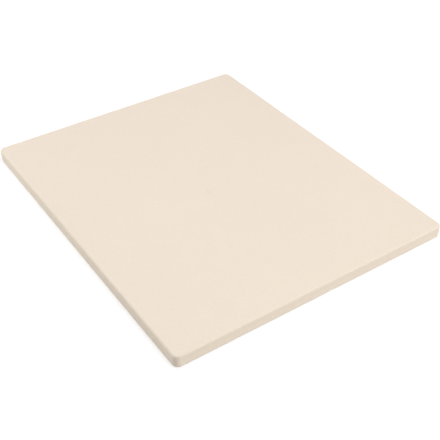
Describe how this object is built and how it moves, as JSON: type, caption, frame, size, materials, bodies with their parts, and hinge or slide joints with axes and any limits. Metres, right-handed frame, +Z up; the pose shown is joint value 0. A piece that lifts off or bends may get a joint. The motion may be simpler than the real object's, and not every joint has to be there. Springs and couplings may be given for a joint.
{
  "type": "pizza stone",
  "caption": "Flat rectangular slab of pale fired ceramic with round corners and eased rims, laid on an oven rack to bake pizza and bread.",
  "frame": {"origin": "middle of the slab's flat underside, which is the face that it rests on", "axes": "+Z up, through the baking face; +X along the long sides; +Y along the short sides"},
  "size_m": [0.425, 0.35, 0.015],
  "materials": {
    "cordierite": "matte"
  },
  "bodies": {
    "root": {"stone_slab": "cordierite"}
  },
  "joints": []
}
